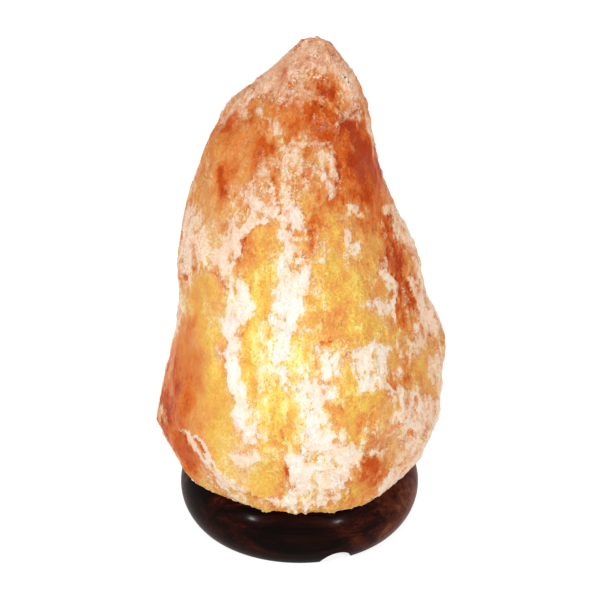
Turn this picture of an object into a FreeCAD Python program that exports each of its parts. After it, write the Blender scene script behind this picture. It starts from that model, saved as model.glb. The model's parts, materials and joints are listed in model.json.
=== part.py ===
"""A bedside salt lamp: a hewn salt crystal screwed to a turned wood base, lit by a small bulb inside.

The lamp stands on z = 0, with the turning axis of the base on the Z axis. -Y is the front and +X is on the
right as one faces the front. All sizes are in millimetres. Each function makes one sub-part.
"""

import FreeCAD, Part
import math
import os

V = FreeCAD.Vector
UP = V(0, 0, 1)
RIGHTWARD = V(1, 0, 0)
BACKWARD = V(0, 1, 0)
CENTRE = V(0, 0, 0)
LEFT_SIDE, RIGHT_SIDE = -1, 1

# Allowances that every piece shares
overrun = 2.0  # how far a cutting tool stands past the face it cuts
slip_gap = 0.1  # radial room round a piece that is pushed into another
moving_gap = 0.3  # room between pieces that move past each other

# Turned wood base
base_diameter = 127.0
base_thickness = 29.5
edge_bulge = 6.0  # how far the rounded edge stands out past the flat faces
rim_radius = 4.5
base_bore_diameter = 42.0
recess_diameter = 88.0
recess_depth = 14.5
recess_corner_radius = 2.0
notch_width = 17.6
notch_height = 8.0
notch_azimuth = -71.5  # degrees round from +X, where the lead leaves the base

# Felt feet
foot_diameter = 10.0
foot_thickness = 1.0
foot_count = 4
foot_from_notch = 45.0  # degrees from the notch to the first foot

# Salt crystal
crystal_width = 151.8
crystal_depth = 129.0
crystal_height = 235.8
crystal_sides = 24
crystal_squareness = 2.05  # exponent of the section's outline, where 2 is an ellipse
level_gap = 19.0  # two levels of corners further apart than this get one more between them
chip_depth = 2.4  # how far single corners stand in or out of the section's outline
cavity_diameter = 52.0
cavity_depth = 92.0
cavity_point_height = 7.0  # the shallow cone at the end of the drilled cavity

# Fixing screws that hold the crystal down, their washers and their wall plugs
fixing_count = 3
fixing_circle_radius = 35.0
fixing_first_azimuth = 90.0
fixing_shank_diameter = 4.0
fixing_head_diameter = 8.0
fixing_head_height = 2.6
fixing_head_round = 1.0
fixing_grip = 20.0  # how far the screw reaches up into the crystal
fixing_point_height = 4.0
fixing_point_diameter = 1.0
fixing_slot_width = 1.2
fixing_slot_length = 4.8
fixing_slot_depth = 1.2
washer_diameter = 10.0
washer_thickness = 1.0
plug_diameter = 8.0
plug_length = 24.0
plug_slit_width = 1.0
plug_slit_length = 12.0

# Lampholder cup, with the flange that meets the roof of the recess and the step that carries the clip band
cup_diameter = 25.0
cup_wall = 1.7
cup_floor = 2.5
cup_below_flange = 4.0
cup_above_flange = 16.8
cup_edge_round = 1.2
flange_diameter = 47.0
flange_thickness = 2.2
flange_bevel = 0.8
band_step_height = 2.0
inlet_bore_diameter = 6.4
bush_neck_diameter = 9.0
bush_lip_diameter = 12.4
bush_lip_thickness = 1.2

# Lampholder collar, the upper sleeve round the screw shell
collar_diameter = 22.0
collar_height = 22.0
collar_bore_diameter = 16.8
collar_shoulder_height = 2.0
collar_shoulder_slope = 1.5
collar_ledge_width = 1.4
collar_ledge_height = 1.2
collar_spigot_height = 4.0
collar_mouth_round = 1.0

# Contact block on the collar's ledge, with the screw shell and the centre contact riveted to it
block_height = 5.0
shell_bore_diameter = 12.3
shell_wall = 0.4
shell_height = 15.0
shell_floor_hole_diameter = 7.6
leaf_width = 2.6
leaf_thickness = 0.4
leaf_rise = 2.0
leaf_foot_length = 2.0
leaf_ramp_length = 2.0
leaf_tip_length = 1.6
rivet_diameter = 0.9
rivet_head_diameter = 1.5
rivet_head_height = 0.5
shell_rivet_radius = 4.6
terminal_width = 4.0
terminal_thickness = 0.8
terminal_drop = 9.0
terminal_radius = 6.4  # from the axis to the outer face of a terminal's leg
terminal_foot_margin = 1.2  # how far the terminal's foot reaches past its rivet
terminal_screw_diameter = 2.4
terminal_screw_head_diameter = 3.6
terminal_screw_head_height = 1.2
terminal_screw_length = 2.0
terminal_screw_height = 2.6  # above the lower end of the terminal

# Clip band and the two sprung wire wings that grip the bore of the base
band_thickness = 0.8
band_height = 6.0
ear_spacing = 8.4  # between the middles of the two ears on one side
ear_thickness = 0.8
ear_height = 4.8
wing_wire_diameter = 1.6
wing_bend_radius = 2.0
wing_pivot_radius = 15.8
wing_leg_spacing = 11.6
wing_pin_length = 2.6
wing_pin_gap = 0.08  # running room of the wing's pins in the ears
wing_bulge_height = 7.0  # above the pivot
wing_top_height = 17.4  # above the pivot
wing_top_radius = 15.6

# Bulb
tip_diameter = 5.2
tip_height = 1.2
tip_to_leaf = 0.15
insulator_height = 2.8
insulator_foot_diameter = 6.4
cap_diameter = 11.5
cap_height = 14.5
cap_wall = 0.3
cap_foot_slope = 0.6
glass_diameter = 22.0
glass_length = 38.0  # above the cap
glass_neck_depth = 5.0  # how far the neck goes down inside the cap
glass_wall = 0.6
glass_nose_radius = 4.0
glass_shoulder_radius = 28.0  # profile of the glass from the nose down to its widest place
glass_belly_radius = 12.0  # profile of the glass from its widest place down to the neck
glass_neck_round = 6.0
stem_diameter = 3.6
stem_length = 17.0
stem_flare_height = 3.0
lead_diameter = 0.7
lead_height = 10.0
lead_foot_spacing = 1.9
lead_spread = 9.0
filament_diameter = 0.8
filament_rise = 3.0
filament_to_lead = 0.3

# Heights that follow from the sizes above
base_top = foot_thickness + base_thickness
recess_roof = foot_thickness + recess_depth
flange_top = recess_roof - moving_gap
flange_bottom = flange_top - flange_thickness
cup_bottom = flange_bottom - cup_below_flange
cup_floor_top = cup_bottom + cup_floor
cup_top = flange_top + cup_above_flange
band_bottom = flange_top + band_step_height
wing_pivot_height = band_bottom + band_height / 2
block_bottom = cup_top + collar_ledge_height
block_top = block_bottom + block_height
leaf_top = block_top + leaf_thickness + leaf_rise
tip_bottom = leaf_top + tip_to_leaf
insulator_bottom = tip_bottom + tip_height
cap_bottom = insulator_bottom + insulator_height
cap_top = cap_bottom + cap_height
glass_bottom = cap_top - glass_neck_depth
stem_top = glass_bottom + stem_length

# Radii that follow from the sizes above
flat_radius = base_diameter / 2 - edge_bulge
cup_inner_radius = cup_diameter / 2 - cup_wall
cap_inner_radius = cap_diameter / 2 - cap_wall
glass_neck_radius = cap_inner_radius - slip_gap
rivet_hole_diameter = rivet_diameter + 2 * slip_gap
leaf_start = leaf_foot_length + leaf_ramp_length / 2  # how far left of the axis the leaf begins
contact_rivet_x = leaf_foot_length / 2 - leaf_start


def cylinder(diameter, height, bottom, x=0.0, y=0.0):
    """An upright cylinder."""
    return Part.makeCylinder(diameter / 2, height, V(x, y, bottom), UP)


def tube(outer_diameter, inner_diameter, height, bottom, x=0.0):
    """An upright tube."""
    hole = cylinder(inner_diameter, height + 2 * overrun, bottom - overrun, x)
    return cylinder(outer_diameter, height, bottom, x).cut(hole)


def box(x_range, y_range, z_range):
    """A box between two places on each axis."""
    (x, x_end), (y, y_end), (z, z_end) = x_range, y_range, z_range
    return Part.makeBox(x_end - x, y_end - y, z_end - z, V(x, y, z))


def turned(points):
    """The solid of revolution of a closed outline of (radius, height) corners."""
    corners = [V(radius, 0, height) for radius, height in points]
    face = Part.Face(Part.makePolygon(corners + corners[:1]))
    return face.revolve(CENTRE, UP, 360)


def level_circles(shape, height):
    """The round edges of a shape that lie flat at one height."""
    return [
        edge
        for edge in shape.Edges
        if edge.Closed and max(abs(edge.BoundBox.ZMin - height), abs(edge.BoundBox.ZMax - height)) < slip_gap
    ]


def around(shape, count, first_azimuth):
    """Copies of a shape that lies at azimuth 0, evenly spaced round the Z axis."""
    copies = []
    for number in range(count):
        copy = shape.copy()
        copy.rotate(CENTRE, UP, first_azimuth + number * 360 / count)
        copies.append(copy)
    return copies


def mirrored(shape):
    """The same shape on the other side of the YZ plane."""
    return shape.mirror(CENTRE, RIGHTWARD)


def bent_wire(points, diameter, bend_radius):
    """A round wire through the points, with an arc of bend_radius at each corner."""
    edges = []
    start = points[0]
    for before, corner, after in zip(points, points[1:], points[2:]):
        back = (before - corner).normalize()
        ahead = (after - corner).normalize()
        half_angle = back.getAngle(ahead) / 2
        arc_start = corner + back * (bend_radius / math.tan(half_angle))
        arc_end = corner + ahead * (bend_radius / math.tan(half_angle))
        inward = (back + ahead).normalize()
        arc_middle = corner + inward * (bend_radius / math.sin(half_angle) - bend_radius)
        edges.append(Part.LineSegment(start, arc_start).toShape())
        edges.append(Part.Arc(arc_start, arc_middle, arc_end).toShape())
        start = arc_end
    edges.append(Part.LineSegment(start, points[-1]).toShape())
    section = Part.Wire(Part.makeCircle(diameter / 2, points[0], points[1] - points[0]))
    return Part.Wire(edges).makePipeShell([section], True, False)


def make_wood_base():
    """Turned disc with a bulging edge, a bore and a wide recess below, and the arched notch for the lead."""
    bottom_rim = V(flat_radius, 0, foot_thickness)
    top_rim = V(flat_radius, 0, base_top)
    bulge = V(base_diameter / 2, 0, foot_thickness + base_thickness / 2)
    edge = Part.Arc(bottom_rim, bulge, top_rim).toShape()
    flats = Part.makePolygon([top_rim, V(0, 0, base_top), V(0, 0, foot_thickness), bottom_rim])
    base = Part.Face(Part.Wire([edge] + flats.Edges)).revolve(CENTRE, UP, 360)
    base = base.makeFillet(rim_radius, level_circles(base, base_top) + level_circles(base, foot_thickness))

    recess = cylinder(recess_diameter, recess_depth + overrun, foot_thickness - overrun)
    recess = recess.makeFillet(recess_corner_radius, level_circles(recess, recess_roof))
    bore = cylinder(base_bore_diameter, base_thickness + 2 * overrun, foot_thickness - overrun)
    arch_radius = (notch_width**2 / 4 + notch_height**2) / (2 * notch_height)
    arch_centre = V(0, 0, foot_thickness + notch_height - arch_radius)
    notch = Part.makeCylinder(arch_radius, base_diameter / 2 + overrun, arch_centre, RIGHTWARD)
    notch.rotate(CENTRE, UP, notch_azimuth)
    screw_hole = cylinder(
        fixing_shank_diameter + 2 * slip_gap,
        base_thickness + 2 * overrun,
        foot_thickness - overrun,
        fixing_circle_radius,
    )
    holes = around(screw_hole, fixing_count, fixing_first_azimuth)
    return [base.cut([recess, bore, notch] + holes)]


def make_base_feet():
    """Round felt pads under the ring that the base stands on."""
    ring_middle = (flat_radius + recess_diameter / 2) / 2
    pad = cylinder(foot_diameter, foot_thickness, 0, ring_middle)
    return around(pad, foot_count, notch_azimuth + foot_from_notch)


# The crystal's outline at rising heights. Each row gives the height as a share of crystal_height, then how
# far the outline reaches left, right, to the front and to the back, as shares of half the width or depth.
crystal_level_shares = [
    (0.000, -0.830, 0.832, -0.862, 0.800),
    (0.040, -0.885, 0.828, -0.915, 0.870),
    (0.100, -1.008, 0.960, -0.970, 0.940),
    (0.200, -0.945, 0.970, -1.000, 0.990),
    (0.300, -0.870, 0.990, -0.965, 1.000),
    (0.395, -0.820, 0.855, -0.885, 0.965),
    (0.500, -0.825, 0.785, -0.780, 0.885),
    (0.590, -0.785, 0.655, -0.680, 0.790),
    (0.685, -0.690, 0.537, -0.590, 0.690),
    (0.775, -0.612, 0.462, -0.490, 0.580),
    (0.845, -0.535, 0.520, -0.420, 0.480),
    (0.900, -0.280, 0.415, -0.320, 0.370),
    (0.950, -0.105, 0.265, -0.190, 0.240),
    (0.985, -0.045, 0.185, -0.090, 0.110),
]
crystal_apex_shares = (0.100, 0.010)  # the apex, right of the axis and behind it

# Flat faces where the crystal was split. Each row gives where the face looks, as degrees round from +X and
# degrees above the horizon, then how deep it bites, as a share of crystal_width.
crystal_split_faces = [
    (-34, 15, 0.062),
    (-122, 24, 0.040),
    (-74, 24, 0.026),
    (-140, 40, 0.030),
    (-158, 6, 0.020),
    (-97, -8, 0.024),
    (-18, -20, 0.020),
    (-55, -12, 0.022),
    (-130, -14, 0.026),
    (20, 20, 0.045),
    (58, 12, 0.040),
    (96, 22, 0.045),
    (132, 10, 0.045),
    (165, 30, 0.030),
    (112, -14, 0.028),
    (48, -18, 0.026),
    (-40, -35, 0.028),
    (-122, -35, 0.020),
]


def crystal_levels():
    """The rows of the outline, with one more between two that lie far apart."""
    levels = crystal_level_shares[:1]
    for low, high in zip(crystal_level_shares, crystal_level_shares[1:]):
        if (high[0] - low[0]) * crystal_height > level_gap:
            levels.append([(below + above) / 2 for below, above in zip(low, high)])
        levels.append(high)
    return levels


def crystal_section(height_share, left, right, front, back):
    """The middle of one level of the crystal, then its corners on a squarish oval."""
    level = base_top + height_share * crystal_height
    middle = V((left + right) * crystal_width / 4, (front + back) * crystal_depth / 4, level)
    reach_x, reach_y = (right - left) * crystal_width / 4, (back - front) * crystal_depth / 4
    power = 2 / crystal_squareness
    corners = []
    for side in range(crystal_sides):
        cosine, sine = side_direction(side)
        x = math.copysign(abs(cosine) ** power, cosine) * reach_x
        y = math.copysign(abs(sine) ** power, sine) * reach_y
        corners.append(middle + V(x, y, 0))
    return middle, corners


def side_direction(side):
    """Which way one corner of a level lies from its middle."""
    angle = 2 * math.pi * side / crystal_sides
    return math.cos(angle), math.sin(angle)


def split(sections, azimuth, tilt, bite_share):
    """Moves the corners that lie beyond one flat face level inwards until they lie on it."""
    azimuth, tilt = math.radians(azimuth), math.radians(tilt)
    outward = V(math.cos(tilt) * math.cos(azimuth), math.cos(tilt) * math.sin(azimuth), math.sin(tilt))
    reach = max(corner.dot(outward) for _, corners in sections for corner in corners)
    reach -= bite_share * crystal_width
    for middle, corners in sections:
        for side, corner in enumerate(corners):
            if corner.dot(outward) > reach:
                share = (reach - middle.dot(outward)) / (corner - middle).dot(outward)
                corners[side] = middle + (corner - middle) * share


def chip(corners, number):
    """Moves each corner of one level a little in or out, except straight to the sides, front and back."""
    for side in range(crystal_sides):
        cosine, sine = side_direction(side)
        uneven = (math.sin(2.7 * side + 1.7 * number) + math.sin(1.3 * side - 2.9 * number)) / 2
        depth = chip_depth * uneven * abs(2 * sine * cosine) ** 0.5
        corners[side] += V(depth * cosine, depth * sine, 0)


def crystal_facets():
    """Flat facets from each level to the next, with the foot below and the apex above."""
    sections = [crystal_section(*row) for row in crystal_levels()]
    for row in crystal_split_faces:
        split(sections, *row)
    levels = [corners for _, corners in sections]
    for number, corners in enumerate(levels):
        chip(corners, number)
    apex_right, apex_back = crystal_apex_shares
    apex = V(apex_right * crystal_width / 2, apex_back * crystal_depth / 2, base_top + crystal_height)
    facets = [levels[0][::-1]]
    for number, (low, high) in enumerate(zip(levels, levels[1:])):
        for side in range(crystal_sides):
            after = (side + 1) % crystal_sides
            if (side + number) % 2:
                facets += [[low[side], low[after], high[side]], [low[after], high[after], high[side]]]
            else:
                facets += [[low[side], low[after], high[after]], [low[side], high[after], high[side]]]
    rim = levels[-1]
    facets += [[rim[side - 1], rim[side], apex] for side in range(crystal_sides)]
    return [Part.Face(Part.makePolygon(facet + facet[:1])) for facet in facets]


def make_salt_crystal():
    """The hewn crystal on its sawn foot, with the drilled cavity for the bulb and the plug holes."""
    shell = Part.makeShell(crystal_facets())
    shell.sewShape()
    crystal = Part.makeSolid(shell)
    size = crystal.BoundBox
    crystal.translate(V(-(size.XMin + size.XMax) / 2, -(size.YMin + size.YMax) / 2, base_top - size.ZMin))

    cavity_end = base_top + cavity_depth
    drilled = turned(
        [
            (0, base_top - overrun),
            (cavity_diameter / 2, base_top - overrun),
            (cavity_diameter / 2, cavity_end),
            (0, cavity_end + cavity_point_height),
        ]
    )
    plug_hole = cylinder(
        plug_diameter + 2 * slip_gap, plug_length + 2 * overrun, base_top - overrun, fixing_circle_radius
    )
    return [crystal.cut([drilled] + around(plug_hole, fixing_count, fixing_first_azimuth))]


def make_fixing_screws():
    """Pan-head screws with a cross slot, from the recess up into the wall plugs."""
    head_top = recess_roof - washer_thickness
    head_bottom = head_top - fixing_head_height
    end = base_top + fixing_grip
    screw = turned(
        [
            (0, head_bottom),
            (fixing_head_diameter / 2 - fixing_head_round, head_bottom),
            (fixing_head_diameter / 2, head_bottom + fixing_head_round),
            (fixing_head_diameter / 2, head_top),
            (fixing_shank_diameter / 2, head_top),
            (fixing_shank_diameter / 2, end - fixing_point_height),
            (fixing_point_diameter / 2, end),
            (0, end),
        ]
    )
    half_length, half_width = fixing_slot_length / 2, fixing_slot_width / 2
    depth = [head_bottom - overrun, head_bottom + fixing_slot_depth]
    slot = box([-half_length, half_length], [-half_width, half_width], depth)
    cross = box([-half_width, half_width], [-half_length, half_length], depth)
    screw = screw.cut([slot, cross])
    screw.translate(V(fixing_circle_radius, 0, 0))
    return around(screw, fixing_count, fixing_first_azimuth)


def make_fixing_washers():
    """Flat steel washers under the screw heads."""
    hole = fixing_shank_diameter + 2 * slip_gap
    washer = tube(
        washer_diameter, hole, washer_thickness, recess_roof - washer_thickness, fixing_circle_radius
    )
    return around(washer, fixing_count, fixing_first_azimuth)


def make_wall_plugs():
    """Nylon plugs in the foot of the crystal, slit at the upper end."""
    hole = fixing_shank_diameter + 2 * slip_gap
    plug = tube(plug_diameter, hole, plug_length, base_top, fixing_circle_radius)
    plug_end = base_top + plug_length
    slit = box(
        [fixing_circle_radius - plug_diameter, fixing_circle_radius + plug_diameter],
        [-plug_slit_width / 2, plug_slit_width / 2],
        [plug_end - plug_slit_length, plug_end + overrun],
    )
    return around(plug.cut(slit), fixing_count, fixing_first_azimuth)


def make_holder_cup():
    """Moulded cup, open at the top, with its stop flange, the step under the clip band and the inlet hole."""
    radius = cup_diameter / 2
    step_radius = radius + slip_gap + band_thickness
    inlet_radius = bush_neck_diameter / 2 + slip_gap
    return [
        turned(
            [
                (inlet_radius, cup_bottom),
                (radius - cup_edge_round, cup_bottom),
                (radius, cup_bottom + cup_edge_round),
                (radius, flange_bottom),
                (flange_diameter / 2 - flange_bevel, flange_bottom),
                (flange_diameter / 2, flange_bottom + flange_bevel),
                (flange_diameter / 2, flange_top),
                (step_radius, flange_top),
                (step_radius, band_bottom),
                (radius, band_bottom),
                (radius, cup_top),
                (cup_inner_radius, cup_top),
                (cup_inner_radius, cup_floor_top),
                (inlet_radius, cup_floor_top),
            ]
        )
    ]


def make_inlet_bush():
    """Rubber grommet that lines the lead's inlet, with a lip on each side of the cup's floor."""
    bore = inlet_bore_diameter / 2
    neck = bush_neck_diameter / 2
    lip = bush_lip_diameter / 2
    return [
        turned(
            [
                (bore, cup_bottom - bush_lip_thickness),
                (lip, cup_bottom - bush_lip_thickness),
                (lip, cup_bottom),
                (neck, cup_bottom),
                (neck, cup_floor_top),
                (lip, cup_floor_top),
                (lip, cup_floor_top + bush_lip_thickness),
                (bore, cup_floor_top + bush_lip_thickness),
            ]
        )
    ]


def make_holder_collar():
    """Sleeve that plugs into the cup, shoulders down to its own size and carries the contact block."""
    radius = collar_diameter / 2
    bore = collar_bore_diameter / 2
    top = cup_top + collar_height
    shoulder_top = cup_top + collar_shoulder_height
    spigot_bottom = cup_top - collar_spigot_height
    ledge = bore - collar_ledge_width
    return [
        turned(
            [
                (bore, spigot_bottom),
                (cup_inner_radius - slip_gap, spigot_bottom),
                (cup_inner_radius - slip_gap, cup_top),
                (cup_diameter / 2, cup_top),
                (cup_diameter / 2, shoulder_top),
                (radius, shoulder_top + collar_shoulder_slope),
                (radius, top - collar_mouth_round),
                (radius - collar_mouth_round, top),
                (bore, top),
                (bore, block_bottom),
                (ledge, block_bottom),
                (ledge, cup_top),
                (bore, cup_top),
            ]
        )
    ]


def rivet_holes():
    """Cutters for the two rivets that run down through the contact block."""
    depth = terminal_drop + block_height + 2 * overrun
    bottom = block_bottom - terminal_drop
    return [cylinder(rivet_hole_diameter, depth, bottom, x) for x in (contact_rivet_x, shell_rivet_radius)]


def make_contact_block():
    """Round insulating block that sits on the collar's ledge."""
    block = cylinder(collar_bore_diameter - 2 * slip_gap, block_height, block_bottom)
    return [block.cut(rivet_holes())]


def make_screw_shell():
    """Drawn brass shell with an inward floor round the centre contact."""
    outer = shell_bore_diameter + 2 * shell_wall
    shell = cylinder(outer, shell_height, block_top)
    room = cylinder(shell_bore_diameter, shell_height, block_top + shell_wall)
    floor_hole = cylinder(shell_floor_hole_diameter, shell_height, block_top - overrun)
    return [shell.cut([room, floor_hole] + rivet_holes())]


def make_centre_contact():
    """Spring leaf with a flat foot on the block, a ramp and a level tip under the bulb."""
    ramp_start = leaf_foot_length - leaf_start
    ramp_end = ramp_start + leaf_ramp_length
    tip_end = ramp_end + leaf_tip_length
    outline = [
        (-leaf_start, 0),
        (ramp_start, 0),
        (ramp_end, leaf_rise),
        (tip_end, leaf_rise),
        (tip_end, leaf_rise + leaf_thickness),
        (ramp_end - leaf_thickness / 2, leaf_rise + leaf_thickness),
        (ramp_start - leaf_thickness / 2, leaf_thickness),
        (-leaf_start, leaf_thickness),
    ]
    corners = [V(x, -leaf_width / 2, block_top + z) for x, z in outline]
    leaf = Part.Face(Part.makePolygon(corners + corners[:1])).extrude(V(0, leaf_width, 0))
    return [leaf.cut(rivet_holes())]


def rivet(x, top_face):
    """A rivet with a flat head on each end, from a face above the block to the terminal under it."""
    bottom_face = block_bottom - terminal_thickness
    shank = cylinder(rivet_diameter, top_face - bottom_face, bottom_face, x)
    upper_head = cylinder(rivet_head_diameter, rivet_head_height, top_face, x)
    lower_head = cylinder(rivet_head_diameter, rivet_head_height, bottom_face - rivet_head_height, x)
    return shank.fuse([upper_head, lower_head])


def make_contact_rivet():
    """Rivet through the leaf's foot, the block and the centre terminal."""
    return [rivet(contact_rivet_x, block_top + leaf_thickness)]


def make_shell_rivet():
    """Rivet through the shell's floor, the block and the shell's terminal."""
    return [rivet(shell_rivet_radius, block_top + shell_wall)]


def terminal(rivet_radius):
    """An angle under the block on the right, with its foot at the rivet and its leg hanging down."""
    width = [-terminal_width / 2, terminal_width / 2]
    foot_bottom = block_bottom - terminal_thickness
    foot_start = rivet_radius - terminal_foot_margin
    leg_start = terminal_radius - terminal_thickness
    foot = box([foot_start, terminal_radius], width, [foot_bottom, block_bottom])
    leg = box([leg_start, terminal_radius], width, [block_bottom - terminal_drop, block_bottom])
    rivet_hole = cylinder(rivet_hole_diameter, terminal_drop, foot_bottom - overrun, rivet_radius)
    screw_hole = Part.makeCylinder(
        terminal_screw_diameter / 2 + slip_gap, terminal_radius, terminal_screw_place(), RIGHTWARD
    )
    return foot.fuse(leg).removeSplitter().cut([rivet_hole, screw_hole])


def terminal_screw_place():
    """The middle of the axis line on which the right-hand terminal screw lies, inside the leg."""
    height = block_bottom - terminal_drop + terminal_screw_height
    return V(terminal_radius - terminal_screw_length, 0, height)


def make_shell_terminal():
    """Terminal on the right, joined to the screw shell."""
    return [terminal(shell_rivet_radius)]


def make_centre_terminal():
    """Terminal on the left, joined to the centre contact."""
    return [mirrored(terminal(-contact_rivet_x))]


def make_terminal_screws():
    """Clamping screws, each through the leg of a terminal from outside."""
    place = terminal_screw_place()
    shank = Part.makeCylinder(terminal_screw_diameter / 2, terminal_screw_length, place, RIGHTWARD)
    head_radius = terminal_screw_head_diameter / 2
    head_place = V(terminal_radius, 0, place.z)
    head = Part.makeCylinder(head_radius, terminal_screw_head_height, head_place, RIGHTWARD)
    screw = shank.fuse(head)
    return [mirrored(screw), screw]


def pin_line(diameter, half_length):
    """A bar along the right-hand wing's pivot line, centred on y = 0."""
    start = V(wing_pivot_radius, -half_length, wing_pivot_height)
    return Part.makeCylinder(diameter / 2, 2 * half_length, start, BACKWARD)


def ear_pair():
    """The two round-ended ears on the right of the band, bored for the wing's pins."""
    ears = []
    for side in (LEFT_SIDE, RIGHT_SIDE):
        y_middle = side * ear_spacing / 2
        y_range = [y_middle - ear_thickness / 2, y_middle + ear_thickness / 2]
        z_range = [wing_pivot_height - ear_height / 2, wing_pivot_height + ear_height / 2]
        plate = box([0, wing_pivot_radius], y_range, z_range)
        round_end = Part.makeCylinder(
            ear_height / 2, ear_thickness, V(wing_pivot_radius, y_range[0], wing_pivot_height), BACKWARD
        )
        ears.append(plate.fuse(round_end).removeSplitter())
    pin_hole = pin_line(wing_wire_diameter + 2 * wing_pin_gap, ear_spacing)
    return [ear.cut(pin_hole) for ear in ears]


def make_clip_band():
    """Steel band round the cup, with a pair of ears on each side."""
    inner = cup_diameter + 2 * slip_gap
    ring = cylinder(inner + 2 * band_thickness, band_height, band_bottom)
    right_ears = ear_pair()
    band = ring.fuse(right_ears + [mirrored(ear) for ear in right_ears])
    room = cylinder(inner, band_height + 2 * overrun, band_bottom - overrun)
    return [band.cut(room).removeSplitter()]


def right_wing():
    """Bent spring wire: two pins, two legs that bulge out to the bore, and the bar that one squeezes."""
    leg_y = wing_leg_spacing / 2
    pin_y = leg_y - wing_pin_length
    bore_reach = math.sqrt((base_bore_diameter / 2) ** 2 - leg_y**2)
    bulge_radius = bore_reach - wing_wire_diameter / 2 - moving_gap
    half_outline = [
        V(wing_pivot_radius, pin_y, wing_pivot_height),
        V(wing_pivot_radius, leg_y, wing_pivot_height),
        V(bulge_radius, leg_y, wing_pivot_height + wing_bulge_height),
        V(wing_top_radius, leg_y, wing_pivot_height + wing_top_height),
    ]
    other_half = [V(point.x, -point.y, point.z) for point in half_outline]
    return bent_wire(half_outline + other_half[::-1], wing_wire_diameter, wing_bend_radius / 2)


def make_right_wing():
    """The wire wing on the right."""
    return [right_wing()]


def make_left_wing():
    """The wire wing on the left."""
    return [mirrored(right_wing())]


def make_bulb_tip():
    """Solder contact at the bottom of the bulb."""
    tip = cylinder(tip_diameter, tip_height, tip_bottom)
    return [tip.makeFillet(tip_height / 2, level_circles(tip, tip_bottom))]


def make_bulb_insulator():
    """Glass cone between the tip and the cap."""
    foot_radius = insulator_foot_diameter / 2
    top_radius = cap_diameter / 2 - cap_foot_slope
    return [Part.makeCone(foot_radius, top_radius, insulator_height, V(0, 0, insulator_bottom), UP)]


def make_bulb_cap():
    """Thin brass cap, closed below but for the hole of the lead wire."""
    radius = cap_diameter / 2
    return [
        turned(
            [
                (tip_diameter / 4, cap_bottom),
                (radius - cap_foot_slope, cap_bottom),
                (radius, cap_bottom + cap_foot_slope),
                (radius, cap_top),
                (cap_inner_radius, cap_top),
                (cap_inner_radius, cap_bottom + cap_foot_slope),
                (cap_inner_radius - cap_foot_slope + cap_wall, cap_bottom + cap_wall),
                (tip_diameter / 4, cap_bottom + cap_wall),
            ]
        )
    ]


def arc_about(centre, start, end):
    """The shorter arc from start to end round a centre."""
    middle = (start - centre + (end - centre)).normalize() * (start - centre).Length
    return Part.Arc(start, centre + middle, end).toShape()


def glass_body(inset):
    """The bulb's glass as a solid, drawn in by an inset on every side but the open neck."""
    radius = glass_diameter / 2
    nose = V(0, 0, cap_top + glass_length - glass_nose_radius)
    nose_to_shoulder = glass_shoulder_radius - glass_nose_radius
    widest = nose.z - math.sqrt(nose_to_shoulder**2 - (glass_shoulder_radius - radius) ** 2)
    shoulder = V(radius - glass_shoulder_radius, 0, widest)
    belly = V(radius - glass_belly_radius, 0, widest)
    neck_x = glass_neck_radius + glass_neck_round
    belly_to_neck = glass_belly_radius + glass_neck_round
    neck = V(neck_x, 0, widest - math.sqrt(belly_to_neck**2 - (neck_x - belly.x) ** 2))

    top = V(0, 0, nose.z + glass_nose_radius - inset)
    nose_end = nose + (nose - shoulder).normalize() * (glass_nose_radius - inset)
    side = V(radius - inset, 0, widest)
    belly_end = belly + (neck - belly).normalize() * (glass_belly_radius - inset)
    neck_start = V(glass_neck_radius - inset, 0, neck.z)
    neck_foot = V(neck_start.x, 0, glass_bottom)
    straight = Part.makePolygon([neck_start, neck_foot, V(0, 0, glass_bottom), top])
    arcs = [
        arc_about(nose, top, nose_end),
        arc_about(shoulder, nose_end, side),
        arc_about(belly, side, belly_end),
        arc_about(neck, belly_end, neck_start),
    ]
    return Part.Face(Part.Wire(arcs + straight.Edges)).revolve(CENTRE, UP, 360)


def make_bulb_glass():
    """Blunt pear-shaped glass envelope with its neck cemented into the cap."""
    return [glass_body(0).cut(glass_body(glass_wall))]


def make_bulb_stem():
    """Glass stem, flared to close the neck of the envelope."""
    flare = glass_neck_radius - glass_wall - slip_gap
    radius = stem_diameter / 2
    return [
        turned(
            [
                (0, glass_bottom),
                (flare, glass_bottom),
                (radius, glass_bottom + stem_flare_height),
                (radius, stem_top),
                (0, stem_top),
            ]
        )
    ]


def make_bulb_leads():
    """Support wires that rise from the stem and spread to carry the filament."""
    foot, spread = lead_foot_spacing / 2, lead_spread / 2
    straight = lead_height / 4
    heights = [stem_top, stem_top + straight, stem_top + lead_height - straight, stem_top + lead_height]
    points = [V(x, 0, z) for x, z in zip([foot, foot, spread, spread], heights)]
    lead = bent_wire(points, lead_diameter, lead_diameter)
    return [mirrored(lead), lead]


def make_bulb_filament():
    """Arched filament between the upper ends of the support wires, at the outer size of its coil."""
    reach = lead_spread / 2 - lead_diameter / 2 - filament_to_lead
    height = stem_top + lead_height - lead_diameter
    points = [V(-reach, 0, height), V(0, 0, height + filament_rise), V(reach, 0, height)]
    return [bent_wire(points, filament_diameter, filament_rise)]


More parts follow.
